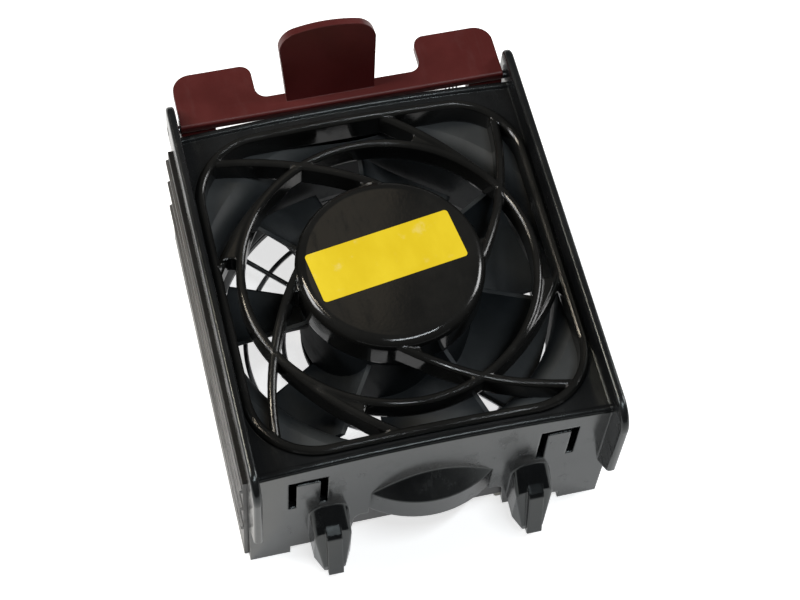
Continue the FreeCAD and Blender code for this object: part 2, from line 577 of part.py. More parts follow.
def guard_frame():
    """The parts of the guard that the blades join: rim, ring and disc."""
    body = doc.addObject("PartDesign::Body", "guard_frame")
    body.AllowCompound = True
    rim = sketch_on(body, "XY", "rim_plan", FACE + " - dim.rim_depth")
    rim_outline(rim, "dim.rim_width / 2")
    rim_outline(rim, "-dim.rim_width / 2")
    pad(body, rim, "rim", "dim.rim_depth + dim.disc_rise")
    crown = sketch_on(body, "XZ", "rim_crown")
    high = FACE + " + dim.rim_rise"
    above = FACE + " + 2 * dim.disc_rise"
    draw(crown, [(CROWN_HALF, high, CROWN_RADIUS, 1), ("-" + CROWN_HALF, high),
                 ("-" + CROWN_HALF, above), (CROWN_HALF, above)])
    pocket(body, crown, "rim_crown_cut", "2 * dim.shell_length", both=True)
    low = value(FACE)
    bevel_edges(body, "rim_bevel", "0.3 * dim.rim_width", lambda edge: edge.BoundBox.ZMin > low)

    disc = sketch_on(body, "XZ", "disc_section")
    top = FACE + " + dim.disc_rise"
    edge = "1.6 * dim.disc_wall"
    foot = FACE + " - dim.rim_depth + 1.1"
    draw(disc, [
        ("0", top + " - dim.disc_wall"), ("dim.disc_radius - (%s)" % edge, top + " - dim.disc_wall"),
        ("dim.disc_radius - dim.disc_wall", top + " - (%s)" % edge),
        ("dim.disc_radius - dim.disc_wall", foot), ("dim.disc_radius", foot),
        ("dim.disc_radius", top + " - (%s)" % edge, edge, 1),
        ("dim.disc_radius - (%s)" % edge, top), ("0", top)])
    turn(body, disc, "disc")

    ring = sketch_on(body, "XZ", "ring_section")
    half = "dim.blade_width / 2"
    crest = FACE + " + dim.ring_rise"
    draw(ring, [
        ("dim.ring_radius - " + half, foot), ("dim.ring_radius + " + half, foot),
        ("dim.ring_radius + " + half, crest + " - dim.blade_bevel"),
        ("dim.ring_radius + %s - dim.blade_bevel" % half, crest),
        ("dim.ring_radius - %s + dim.blade_bevel" % half, crest),
        ("dim.ring_radius - " + half, crest + " - dim.blade_bevel")])
    turn(body, ring, "ring")
    return body


def blade_arc(start, finish, radius=None):
    """Centre and radius of the arc from start to finish. With no radius given, it leaves its start
    circle without a kink."""
    run = finish - start
    if radius is None:
        outward = V(start.x, start.y, 0).normalize()
        reach = run.dot(run) / (2 * run.dot(outward))
        return start + outward * reach, abs(reach)
    side = V(-run.y, run.x, 0).normalize()
    return (start + finish) * 0.5 + side * math.sqrt(radius ** 2 - (run.Length / 2) ** 2), radius


def arc_points(start, finish, count, radius=None):
    """Points along that arc from start to finish, both ends included."""
    centre, radius = blade_arc(start, finish, radius)
    first, last = (math.atan2(spot.y - centre.y, spot.x - centre.x) for spot in (start, finish))
    sweep = (last - first + math.pi) % (2 * math.pi) - math.pi
    angles = [first + sweep * index / (count - 1) for index in range(count)]
    return [centre + V(math.cos(angle), math.sin(angle), 0) * radius for angle in angles]


def guard_top(spot, lift, finish):
    """Height of the blades' crest: it falls from the disc to the ring and on to the rim."""
    face = value(FACE)
    disc_radius, ring_radius = value("dim.disc_radius"), value("dim.ring_radius")
    at_disc = face + value("dim.disc_rise") - 1.6
    at_ring = face + value("dim.ring_rise") - lift
    at_rim = face + value("dim.rim_rise") + crown_at(finish.x) - 0.8
    reach = math.hypot(spot.x, spot.y)
    if reach <= ring_radius:
        part = max(reach - disc_radius, 0) / (ring_radius - disc_radius)
        return at_disc + (at_ring - at_disc) * part
    part = (reach - ring_radius) / (math.hypot(finish.x, finish.y) - ring_radius)
    return at_ring + (at_rim - at_ring) * part


def guard_blade(start, finish, lift, radius=None):
    """One blade: an upright strip with a bevelled crest, swept along its arc."""
    path = [V(spot.x, spot.y, guard_top(spot, lift, finish))
            for spot in arc_points(start, finish, 5, radius)]
    spine = Part.BSplineCurve()
    spine.interpolate(path)
    half = value("dim.blade_width") / 2
    bevel = value("dim.blade_bevel")
    depth = value("dim.blade_depth")
    across = (start - blade_arc(start, finish, radius)[0]).normalize()
    outline = [path[0] + across * side + V(0, 0, -drop) for side, drop in (
        (-half, depth), (-half, bevel), (bevel - half, 0), (half - bevel, 0), (half, bevel), (half, depth))]
    section = Part.makePolygon(outline + outline[:1])
    sweep = Part.BRepOffsetAPI.MakePipeShell(Part.Wire([spine.toShape()]))
    sweep.setBiNormalMode(V(0, 0, 1))
    sweep.add(section)
    sweep.build()
    sweep.makeSolid()
    return sweep.shape()


def guard_web(start, finish, edge_radius, crest, radius=None):
    """Fills the sharp pocket between a blade and the circle it leaves, with a round end."""
    corner = value("dim.web_corner")
    circle_radius = start.Length
    gap = value("dim.blade_width") / 2 + edge_radius - circle_radius + 2 * corner
    trail = arc_points(start, finish, 121, radius)
    far = [spot for spot in trail if abs(math.hypot(spot.x, spot.y) - circle_radius) > gap][0]
    middle = trail[trail.index(far) // 2]
    angles = [math.atan2(spot.y, spot.x) for spot in (start, middle, far)]
    on_circle = [V(math.cos(angle), math.sin(angle), 0) * circle_radius for angle in angles]
    back = (start - far).normalize()
    tip = (far + on_circle[2]) * 0.5 + back * corner
    floor = value(FACE) - value("dim.rim_depth") + 1.1
    outline = Part.Wire([
        Part.Arc(start, middle, far).toShape(), Part.Arc(far, tip, on_circle[2]).toShape(),
        Part.Arc(on_circle[2], on_circle[1], start).toShape()])
    web = Part.Face(outline)
    web.translate(V(0, 0, floor))
    return web.extrude(V(0, 0, crest - floor))


def build_finger_guard():
    half_x, half_y = value("dim.rim_half_x"), value("dim.rim_half_y")
    corner = value("dim.rim_corner") * (1 - math.sqrt(0.5))
    sweep = value("dim.inner_sweep")
    pieces = []
    for quarter in range(4):
        swap = quarter % 2
        turned_by = FreeCAD.Rotation(V(0, 0, 1), 90 * quarter)
        start_angle = math.radians(value("dim.inner_start") + 90)
        start = turned_by.multVec(V(math.cos(start_angle), math.sin(start_angle), 0))
        start = start * (value("dim.disc_radius") - 0.8 * value("dim.blade_width"))
        signs = turned_by.multVec(V(-1, -1, 0))
        finish = V(round(signs.x) * (half_x - corner), round(signs.y) * (half_y - corner), 0)
        pieces.append(guard_blade(start, finish, 0, sweep))
        pieces.append(guard_web(start, finish, value("dim.disc_radius"),
                                value(FACE + " + dim.ring_rise + 1.5"), sweep))

        start_angle = math.radians(value("dim.outer_start") + 90)
        start = turned_by.multVec(V(math.cos(start_angle), math.sin(start_angle), 0))
        start = start * value("dim.ring_radius")
        side = half_y if swap else half_x
        finish = turned_by.multVec(V(-side, value("dim.outer_end"), 0))
        pieces.append(guard_blade(start, finish, 0.3))
        pieces.append(guard_web(start, finish, value("dim.ring_radius + dim.blade_width / 2"),
                                value(FACE + " + dim.ring_rise - 1")))
    reach = 2 * half_y
    room = Part.makeBox(2 * reach, 2 * reach, reach, V(-reach, -reach, value(FACE + " - dim.rim_depth")))
    blades = doc.addObject("Part::Feature", "guard_blades")
    blades.Shape = pieces[0].multiFuse(pieces[1:]).common(room)
    guard = doc.addObject("Part::MultiFuse", "finger_guard")
    guard.Shapes = [guard_frame(), blades]
    keep(guard, "finger_guard")


# --- rotor: impeller with seven cambered blades, yoke, magnet, shaft and clip ---

HUB_TOP = FAN_BASE + " + dim.hub_rise"
HUB_FOOT = FAN_BASE + " + dim.hub_lift"
YOKE_OUT = "(dim.core_radius + dim.air_gap + dim.magnet_wall + dim.yoke_wall)"
MAGNET_OUT = "(dim.core_radius + dim.air_gap + dim.magnet_wall)"


def blade_section(sketch, half, rise):
    """A thin crescent from the high leading edge to the low trailing edge."""
    chord = "(2 * sqrt((%s) ^ 2 + (%s) ^ 2))" % (half, rise)
    middle = FAN_BASE + " + dim.blade_middle"
    high, low = "%s + %s" % (middle, rise), "%s - %s" % (middle, rise)
    draw(sketch, [
        (half, high, "0.9 * " + chord, -1), ("-" + half, low),
        ("-(%s + dim.blade_edge)" % half, low, chord, 1), (half + " - dim.blade_edge", high)])


def build_impeller():
    body = new_body("impeller")
    hub = sketch_on(body, "XZ", "hub_section")
    draw(hub, [
        ("0", HUB_FOOT), ("dim.hub_radius", HUB_FOOT),
        ("dim.hub_radius", HUB_TOP + " - dim.hub_edge", "dim.hub_edge", 1),
        ("dim.hub_radius - dim.hub_edge", HUB_TOP), ("0", HUB_TOP)])
    turn(body, hub, "hub")
    root = sketch_on(body, "YZ", "blade_root", "dim.hub_radius - 4")
    blade_section(root, "dim.blade_root_half", "dim.blade_root_rise")
    tip = sketch_on(body, "YZ", "blade_tip", "dim.blade_tip + 1")
    blade_section(tip, "dim.blade_tip_half", "dim.blade_tip_rise")
    loft = body.newObject("PartDesign::AdditiveLoft", "blade")
    loft.Profile = root
    loft.Sections = [tip]
    pattern = body.newObject("PartDesign::PolarPattern", "blades")
    pattern.Originals = [loft]
    pattern.Axis = (hub, ["V_Axis"])
    pattern.Angle = 360
    pattern.Occurrences = 7
    body.Tip = pattern
    trim = sketch_on(body, "XZ", "tip_trim")
    draw_box(trim, "dim.blade_tip", "2 * dim.blade_tip", FAN_BASE + " - 5", FAN_TOP + " + 5")
    turn(body, trim, "tip_circle", cut=True)
    hollow = sketch_on(body, "XZ", "hub_hollow")
    inner_top = HUB_TOP + " - dim.hub_wall"
    boss_foot = HUB_TOP + " - dim.hub_wall - 3.9"
    draw(hollow, [
        ("0", HUB_FOOT + " - 6"), (YOKE_OUT, HUB_FOOT + " - 6"), (YOKE_OUT, inner_top),
        ("dim.hub_boss", inner_top), ("dim.hub_boss", boss_foot), ("dim.shaft_radius", boss_foot),
        ("dim.shaft_radius", inner_top), ("0", inner_top)])
    turn(body, hollow, "hub_hollow_cut", cut=True)


def build_rotor_parts():
    inner_top = HUB_TOP + " - dim.hub_wall"
    turned("rotor_yoke", [
        (MAGNET_OUT, HUB_FOOT + " + 0.4"), (YOKE_OUT, HUB_FOOT + " + 0.4"), (YOKE_OUT, inner_top),
        ("dim.hub_boss + 0.3", inner_top), ("dim.hub_boss + 0.3", inner_top + " - dim.yoke_wall"),
        (MAGNET_OUT, inner_top + " - dim.yoke_wall")])
    low = FAN_BASE + " + dim.core_lift + dim.core_height / 2 - dim.magnet_height / 2"
    turned("rotor_magnet", [
        ("dim.core_radius + dim.air_gap", low), (MAGNET_OUT, low),
        (MAGNET_OUT, low + " + dim.magnet_height"),
        ("dim.core_radius + dim.air_gap", low + " + dim.magnet_height")])
    foot = FAN_BASE + " + 2.6"
    groove = FAN_BASE + " + dim.bearing_low - 1.8"
    turned("rotor_shaft", [
        ("0", foot), ("dim.shaft_radius - 0.4", foot), ("dim.shaft_radius", foot + " + 0.4"),
        ("dim.shaft_radius", groove), ("dim.shaft_radius - 0.4", groove),
        ("dim.shaft_radius - 0.4", groove + " + 0.7"), ("dim.shaft_radius", groove + " + 0.7"),
        ("dim.shaft_radius", inner_top), ("0", inner_top)])
    turned("shaft_clip", [
        ("dim.shaft_radius - 0.4", groove), ("dim.shaft_radius + 1.6", groove),
        ("dim.shaft_radius + 1.6", groove + " + 0.7"), ("dim.shaft_radius - 0.4", groove + " + 0.7")])


def turn_rotor(*labels):
    """The rotor comes to rest part of a turn round, with one blade near the left strut."""
    turned_by = FreeCAD.Rotation(V(0, 0, 1), value("dim.rotor_turn"))
    for node in NODES:
        if node.Label in labels:
            node.Placement = FreeCAD.Placement(V(0, 0, 0), turned_by)


# --- stator: bearing tube, bearings, core, coils and driver board ---

def build_bearings():
    inner = "dim.bearing_radius"
    outer = "(dim.bearing_radius + dim.tube_wall)"
    shoulder = "dim.bearing_radius - 1.2"
    low = FAN_BASE + " + dim.bearing_low"
    high = FAN_BASE + " + dim.bearing_high"
    top = FAN_BASE + " + dim.base_wall + dim.tube_height"
    turned("bearing_tube", [
        ("0", FAN_BASE), (outer, FAN_BASE), (outer, top), (inner, top),
        (inner, high + " - 0.6"), (shoulder, high + " - 0.6"),
        (shoulder, low + " + dim.bearing_width"), (inner, low + " + dim.bearing_width"),
        (inner, FAN_BASE + " + 1.2"), ("0", FAN_BASE + " + 1.2")])
    for label, foot in (("bearing_lower", low), ("bearing_upper", high)):
        bore = "dim.shaft_radius + dim.running_gap"
        crest = foot + " + dim.bearing_width"
        turned(label, [
            (bore, foot), ("dim.bearing_radius - 1.6", foot), ("dim.bearing_radius - 1.6", foot + " + 0.4"),
            ("dim.bearing_radius - 1", foot + " + 0.4"), ("dim.bearing_radius - 1", foot),
            ("dim.bearing_radius", foot), ("dim.bearing_radius", crest),
            ("dim.bearing_radius - 1", crest), ("dim.bearing_radius - 1", crest + " - 0.4"),
            ("dim.bearing_radius - 1.6", crest + " - 0.4"), ("dim.bearing_radius - 1.6", crest),
            (bore, crest)])
    turned("preload_washer", [
        ("dim.shaft_radius + 1.5", high + " - 0.6"), ("dim.bearing_radius", high + " - 0.6"),
        ("dim.bearing_radius", high + " - 0.2"), ("dim.shaft_radius + 1.5", high)])


def build_stator():
    core = new_body("stator_core")
    foot = FAN_BASE + " + dim.core_lift"
    blank = sketch_on(core, "XY", "core_outline", foot)
    draw_circle(blank, "0", "0", "dim.core_radius")
    draw_circle(blank, "0", "0", "dim.bearing_radius + dim.tube_wall")
    pad(core, blank, "core_stack", "dim.core_height")
    slot = sketch_on(core, "XY", "slot_outline", foot + " + dim.core_height + 1")
    half = "dim.pole_width / 2"
    inner, outer = "dim.bearing_radius + dim.tube_wall + 4", "dim.core_radius - 2.6"
    # the slot lies midway between two poles, so its sides run parallel to those poles
    inner_side = "((%s) * tan(30) - %s / cos(30))" % (inner, half)
    outer_side = "((%s) * tan(30) - %s / cos(30))" % (outer, half)
    draw(slot, [
        ("-1.2 * " + inner_side, inner), ("1.2 * " + inner_side, inner), (outer_side, outer),
        ("1", outer), ("1", "dim.core_radius + 1"), ("-1", "dim.core_radius + 1"),
        ("-1", outer), ("-" + outer_side, outer)])
    around(core, pocket(core, slot, "slot", "dim.core_height + 2"), "slots", 6)

    lift, height = value(foot), value("dim.core_height")
    tube = value("dim.bearing_radius + dim.tube_wall")
    width, side = value("dim.pole_width"), 1.7
    near, far = tube + 4.6, value("dim.core_radius") - 3.2
    wound = Part.makeBox(far - near, width + 2 * side, height + 2 * side,
                         V(near, -width / 2 - side, lift - side))
    wound = wound.makeFillet(1.2, [edge for edge in wound.Edges if edge.BoundBox.XLength > 1])
    pole = Part.makeBox(far - near + 2, width, height, V(near - 1, -width / 2, lift))
    solid_part("stator_coils", Part.makeCompound(turned_copies(wound.cut(pole), 6)))
    collars = []
    for level in (lift - 1.2, lift + height):
        collar = Part.makeCylinder(tube + 3.6, 1.2).cut(Part.makeCylinder(tube, 1.2))
        collars.append(collar.translated(V(0, 0, level)))
    solid_part("stator_bobbin", Part.makeCompound(collars))

    board = new_body("driver_board")
    plan = sketch_on(board, "XY", "board_outline", FAN_BASE + " + dim.board_lift")
    draw_circle(plan, "0", "0", "dim.board_radius")
    draw_circle(plan, "0", "0", "dim.bearing_radius + dim.tube_wall + 0.3")
    pad(board, plan, "board", "dim.board_wall")
    top = value(FAN_BASE + " + dim.board_lift + dim.board_wall")
    chips = []
    for length, depth, tall, reach, angle in ((6, 5, 1.5, 15, 20), (3, 2, 1.2, 20, 100),
                                              (4, 3, 1.4, 17, 160), (3, 2, 1.2, 15, 215)):
        chip = Part.makeBox(length, depth, tall, V(reach - length / 2, -depth / 2, top))
        chips.append(chip.rotated(V(0, 0, 0), V(0, 0, 1), angle))
    solid_part("board_parts", Part.makeCompound(chips))


# --- hardware under the tray: guard wires, screws, pads, connector and its leads ---

def rounded_path(points, bend):
    """A run of straight lines joined by tangent bends."""
    edges = []
    here = points[0]
    for before, corner, after in zip(points, points[1:], points[2:]):
        back, ahead = (before - corner).normalize(), (after - corner).normalize()
        inside = (back + ahead).normalize()
        half = math.acos(max(-1, min(1, back.dot(ahead)))) / 2
        trim = bend / math.tan(half)
        first, last = corner + back * trim, corner + ahead * trim
        middle = corner + inside * (bend / math.sin(half) - bend)
        edges += [Part.LineSegment(here, first).toShape(), Part.Arc(first, middle, last).toShape()]
        here = last
    edges.append(Part.LineSegment(here, points[-1]).toShape())
    return Part.Wire(edges)


def round_wire(path, radius):
    """A round wire along a path."""
    start = path.Edges[0]
    along = start.tangentAt(start.FirstParameter)
    circle = Part.Wire([Part.Circle(path.Vertexes[0].Point, along, radius).toShape()])
    return path.makePipeShell([circle], True, True)


def along_strut(along, side, up):
    across, over = slanted(repr(along), repr(side))
    return V(value(across), value(over), up)


def build_leads():
    radius = value("dim.lead_radius")
    board_top = value(FAN_BASE + " + dim.board_lift + dim.board_wall") + radius
    strut_top = value(FAN_BASE + " + dim.strut_depth") + radius + 0.05
    plug_top = value(FAN_BASE + " - dim.tray_wall - 0.1")
    drop = value(LEAD_EXIT)
    rim = value("dim.board_radius")
    for label, place in (("lead_red", -1), ("lead_black", 0), ("lead_blue", 1)):
        side = place * value("dim.lead_gap")
        spots = ((rim - 4, board_top), (rim, board_top), (rim + 4.5, strut_top), (drop, strut_top),
                 (drop, plug_top - 3.5))
        path = rounded_path([along_strut(along, side, up) for along, up in spots], 1.6)
        solid_part(label, round_wire(path, radius))


def build_connector():
    body = new_body("connector_body")
    top = FAN_BASE + " - dim.tray_wall - 0.1"
    block = sketch_on(body, "XY", "plug_outline", top)
    draw_rounded_box(block, "dim.plug_x", PLUG_Y, "dim.plug_length / 2", "dim.plug_depth / 2", "1")
    pad(body, block, "plug_block", "dim.plug_height", reverse=True)
    mouth = sketch_on(body, "XY", "plug_mouth", top + " - dim.plug_height - 1")
    draw_rounded_box(mouth, "dim.plug_x", PLUG_Y, "dim.plug_length / 2 - 1.5",
                     "dim.plug_depth / 2 - 1.5", "0.5")
    pocket(body, mouth, "mouth", "0.55 * dim.plug_height + 1", reverse=True)
    wells = sketch_on(body, "XY", "lead_wells", top + " + 1")
    for place in ("-1", "0", "1"):
        well_x, well_y = slanted(LEAD_EXIT, place + " * dim.lead_gap")
        draw_circle(wells, well_x, well_y, "dim.lead_radius + 0.05")
    pocket(body, wells, "lead_wells_cut", "4.7")

    floor = value(top + " - dim.plug_height + 0.55 * dim.plug_height")
    mouth_foot = value(top + " - dim.plug_height")
    contacts = []
    for index in range(4):
        left = value("dim.plug_x") - 7 + 4.4 * index
        blade = Part.makeBox(0.8, 3, floor - mouth_foot - 1.5,
                             V(left, value(PLUG_Y) - 1.5, mouth_foot + 1.5))
        contacts.append(blade)
    solid_part("connector_contacts", Part.makeCompound(contacts))


def corner_spots(across, up):
    return [V(side * across, end * up, 0) for side in (1, -1) for end in (1, -1)]


def wire_ring(radius, level):
    """A wire ring of eight-sided section, square to the fan's axis."""
    wire = value("dim.wire_radius")
    corners = []
    for index in range(8):
        angle = math.radians(22.5 + 45 * index)
        corners.append(V(radius + wire * math.cos(angle), 0, level + wire * math.sin(angle)))
    section = Part.Face(Part.makePolygon(corners + corners[:1]))
    return section.revolve(V(0, 0, 0), V(0, 0, 1), 360)


def build_rear_guard():
    """Three welded rings on four legs that end in flattened screw eyes."""
    wire = value("dim.wire_radius")
    leg_level = value(FAN_BASE + " - dim.tray_wall") - wire - 0.3
    pieces = [wire_ring(radius, leg_level - 2 * wire) for radius in (22, 35.5, 49)]
    hole = value("dim.hole_pitch / 2")
    bore = value("dim.hole_radius") + 0.4
    eye = bore + 2 * wire
    reach = math.hypot(hole, hole) - bore - wire
    for spot in corner_spots(hole, hole):
        away = V(spot.x, spot.y, 0).normalize()
        leg = Part.makeCylinder(wire, reach - 20, away * 20 + V(0, 0, leg_level), away)
        foot = spot + V(0, 0, leg_level - wire)
        leg = leg.fuse(Part.makeCylinder(eye, 2 * wire, foot)).cut(Part.makeCylinder(bore, 2 * wire, foot))
        pieces.append(leg)
    solid_part("rear_guard", Part.makeCompound(pieces))


def build_screws_and_pads():
    wire = value("dim.wire_radius")
    seat = value(FAN_BASE + " - dim.tray_wall") - 0.3 - 2 * wire
    head, shank = value("dim.screw_head"), value("dim.screw_radius")
    screw = Part.makeCylinder(head, 2.4, V(0, 0, seat - 2.4))
    screw = screw.makeChamfer(0.6, [edge for edge in screw.Edges if edge.BoundBox.ZMax < seat - 2.3])
    screw = screw.fuse(Part.makeCylinder(shank, value("dim.screw_length"), V(0, 0, seat - 0.5)))
    for angle in (0, 90):
        slit = Part.makeBox(4, 0.8, 1.4, V(-2, -0.4, seat - 2.5))
        screw = screw.cut(slit.rotated(V(0, 0, 0), V(0, 0, 1), angle))
    hole = value("dim.hole_pitch / 2")
    screws = [screw.translated(spot) for spot in corner_spots(hole, hole)]
    solid_part("fan_screws", Part.makeCompound(screws))

    side = value("dim.pad_side")
    inset = value("dim.fan_half") - side / 2 - 1
    under_face = value("dim.fan_recess - dim.face_wall") + crown_at(inset + side / 2)
    height = under_face - value("dim.pad_gap")
    pads = []
    for spot in corner_spots(inset, inset):
        block = Part.makeBox(side, side, height, V(-side / 2, -side / 2, 0))
        block = block.makeFillet(0.8, [edge for edge in block.Edges if edge.BoundBox.ZLength > 1])
        pads.append(block.translated(spot + V(0, 0, value(FAN_TOP))))
    solid_part("corner_pads", Part.makeCompound(pads))


# --- latch: handle with two finger tabs and a thumb tab, on a rod with a torsion spring ---

def build_latch():
    body = new_body("latch_handle")
    plate = sketch_on(body, "XY", "handle_plan", FACE + " + dim.latch_lift")
    near = HALF_LENGTH + " + dim.latch_front"
    strip = near + " + dim.latch_strip"
    far = HALF_LENGTH + " + dim.latch_tab_reach"
    wide = "%s - dim.latch_gap" % FLANGE_IN
    tab, outer, inner = "dim.latch_tab_inner", "dim.latch_outer_corner", "dim.latch_inner_corner"
    half = [
        (wide, near), (wide, "%s - %s" % (far, outer), outer, 1), ("%s - %s" % (wide, outer), far),
        ("%s + %s" % (tab, inner), far, inner, 1), (tab, "%s - %s" % (far, inner)),
        (tab, "%s + %s" % (strip, inner), inner, -1), ("%s - %s" % (tab, inner), strip)]
    mirrored = [("-(%s)" % corner[0], corner[1]) for corner in reversed(half)]
    arcs = {0: (inner, -1), 2: (inner, 1), 4: (outer, 1)}
    mirrored = [corner + arcs.get(index, ()) for index, corner in enumerate(mirrored)]
    draw(plate, half + mirrored)
    pad(body, plate, "handle_plate", "dim.latch_wall")
    edge_y = value(near)
    top = value(FACE + " + dim.latch_lift + dim.latch_wall")
    round_edges(body, "near_rounding", "dim.latch_round",
                lambda edge: edge.BoundBox.YMax < edge_y + 1e-3 and edge.BoundBox.ZMin > top - 1e-3)

    thumb = sketch_on(body, "XZ", "thumb_face", "-(%s) + dim.thumb_wall + 0.6" % strip,
                      -value("dim.thumb_lean"))
    thumb.setExpression("AttachmentOffset.Base.y", FACE + " + dim.latch_lift + dim.latch_wall / 2")
    left, right = ("dim.thumb_shift %s dim.thumb_width / 2" % sign for sign in ("-", "+"))
    shoulder = "dim.thumb_height - 7"
    draw(thumb, [
        (left + " + 1.5", "-1"), (right + " - 1.5", "-1"), (right, shoulder, "7.5", 1),
        (right + " - 6", "dim.thumb_height - 0.9", "1.6 * dim.thumb_width", 1),
        (left + " + 6", "dim.thumb_height - 0.9", "7.5", 1), (left, shoulder)])
    pad(body, thumb, "thumb_tab", "dim.thumb_wall", reverse=True)

    for name, side in (("boss_right", 1), ("boss_left", -1)):
        shift = "dim.latch_tab_inner + 16" if side > 0 else "-(%s)" % wide
        boss = sketch_on(body, "YZ", name, shift)
        draw_circle(boss, PIVOT_Y, PIVOT_Z, "dim.boss_radius")
        pad(body, boss, name + "_pad", "%s - dim.latch_tab_inner - 16" % wide)
    bore = sketch_on(body, "YZ", "boss_bore")
    draw_circle(bore, PIVOT_Y, PIVOT_Z, "dim.rod_radius + dim.running_gap")
    pocket(body, bore, "boss_bores", "2 * %s" % FLANGE_OUT, both=True)

    rod_length = value("2 * %s" % FLANGE_OUT) - 0.4
    rod = keep(doc.addObject("Part::Cylinder", "latch_rod"), "latch_rod")
    rod.setExpression("Radius", "dim.rod_radius")
    rod.setExpression("Height", "2 * %s - 0.4" % FLANGE_OUT)
    rod.Placement = FreeCAD.Placement(V(-rod_length / 2, value(PIVOT_Y), value(PIVOT_Z)),
                                      FreeCAD.Rotation(V(0, 1, 0), 90))

    wire = value("dim.spring_wire")
    coil_radius = value("dim.rod_radius") + wire + 0.05
    corners = []
    for index in range(6):
        angle = math.radians(60 * index)
        corners.append(V(coil_radius + wire * math.cos(angle), 0, wire * math.sin(angle)))
    section = Part.makePolygon(corners + corners[:1])
    coil = Part.makeHelix(1.3, 4, coil_radius).makePipeShell([section], True, True)
    tails = [Part.makeCylinder(wire, 4.8, V(coil_radius, -0.1, 0), V(0, -1, 0)),
             Part.makeCylinder(wire, 3.4, V(coil_radius, 0.1, 4), V(0, 1, 0))]
    solid_part("latch_spring", Part.makeCompound([coil] + tails))
    spring = NODES[-1]
    spring.Placement = FreeCAD.Placement(V(38, value(PIVOT_Y), value(PIVOT_Z)),
                                         FreeCAD.Rotation(V(0, 1, 0), 90))


def build_sticker():
    body = new_body("blank_label")
    plan = sketch_on(body, "XY", "sticker_plan", FACE + " + dim.disc_rise")
    draw_rounded_box(plan, "0", "0", "dim.sticker_length / 2", "dim.sticker_height / 2", "1.2")
    pad(body, plan, "film", "dim.sticker_film")
    turned_by = FreeCAD.Rotation(V(0, 0, 1), value("dim.sticker_turn"))
    body.Placement = FreeCAD.Placement(V(-1, 2, 0), turned_by)


build_front_shell()
build_finger_guard()
build_rear_shell()
build_fan_frame()
build_impeller()
build_rotor_parts()
turn_rotor("impeller", "rotor_yoke", "rotor_magnet", "rotor_shaft", "shaft_clip")
build_bearings()
build_stator()
build_leads()
build_connector()
build_rear_guard()
build_screws_and_pads()
build_latch()
build_sticker()
doc.recompute()

faults = [item.Name for item in doc.Objects if "Invalid" in item.State or "Error" in item.State]
for node in NODES:
    if node.Shape.isNull() or not node.Shape.isValid() or not node.Shape.Solids:
        faults.append(node.Label)
if faults:
    raise RuntimeError("not sound: " + ", ".join(faults))

os.makedirs("parts", exist_ok=True)
for node in NODES:
    node.Shape.exportStep("parts/%s.step" % node.Label)
    box = node.Shape.BoundBox
    print("%-20s %3d solid(s) %9.0f mm3  x %.1f..%.1f y %.1f..%.1f z %.1f..%.1f" % (
        node.Label, len(node.Shape.Solids), node.Shape.Volume,
        box.XMin, box.XMax, box.YMin, box.YMax, box.ZMin, box.ZMax))
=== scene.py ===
import bpy
from mathutils import Matrix, Vector


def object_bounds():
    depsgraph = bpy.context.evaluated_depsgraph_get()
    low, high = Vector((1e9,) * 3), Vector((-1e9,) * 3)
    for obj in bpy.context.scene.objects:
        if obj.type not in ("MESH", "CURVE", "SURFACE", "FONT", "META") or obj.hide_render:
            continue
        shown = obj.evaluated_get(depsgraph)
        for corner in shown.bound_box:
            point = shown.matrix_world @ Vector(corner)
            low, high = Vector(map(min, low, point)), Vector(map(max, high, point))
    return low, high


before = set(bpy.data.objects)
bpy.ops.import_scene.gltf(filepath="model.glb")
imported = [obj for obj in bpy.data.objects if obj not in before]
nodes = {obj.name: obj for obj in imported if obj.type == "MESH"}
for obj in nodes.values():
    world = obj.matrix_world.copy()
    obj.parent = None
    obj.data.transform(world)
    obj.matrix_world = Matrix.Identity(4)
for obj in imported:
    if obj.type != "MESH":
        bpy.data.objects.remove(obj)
cadLow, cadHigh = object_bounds()
scene = bpy.context.scene
print("frame loaded:", len(nodes), "nodes")


# shader maths: a socket that adds, subtracts and multiplies as numbers do
class Flow:
    def __init__(self, sheet, socket):
        self.sheet = sheet
        self.socket = socket

    def __add__(self, other):
        return self.sheet.maths("ADD", self, other)

    def __radd__(self, other):
        return self.sheet.maths("ADD", other, self)

    def __sub__(self, other):
        return self.sheet.maths("SUBTRACT", self, other)

    def __rsub__(self, other):
        return self.sheet.maths("SUBTRACT", other, self)

    def __mul__(self, other):
        return self.sheet.maths("MULTIPLY", self, other)

    def __rmul__(self, other):
        return self.sheet.maths("MULTIPLY", other, self)

    def ramp(self, low, high):
        made = self.sheet.node("ShaderNodeMapRange", {"interpolation_type": "SMOOTHSTEP"}, {
            "Value": self, "From Min": low, "From Max": high})
        return Flow(self.sheet, made.outputs["Result"])


# a node tree, of a material or of the world
class Sheet:
    def __init__(self, tree):
        self.tree = tree

    def feed(self, socket, amount):
        if isinstance(amount, Flow):
            self.tree.links.new(amount.socket, socket)
        else:
            socket.default_value = amount

    def node(self, kind, settings=None, sockets=None):
        made = self.tree.nodes.new(kind)
        for key, setting in (settings or {}).items():
            setattr(made, key, setting)
        for key, amount in (sockets or {}).items():
            self.feed(made.inputs[key], amount)
        return made

    def maths(self, operation, first, second):
        made = self.node("ShaderNodeMath", {"operation": operation}, {0: first, 1: second})
        return Flow(self, made.outputs[0])

    def ray(self, kind):
        return Flow(self, self.node("ShaderNodeLightPath").outputs[kind])


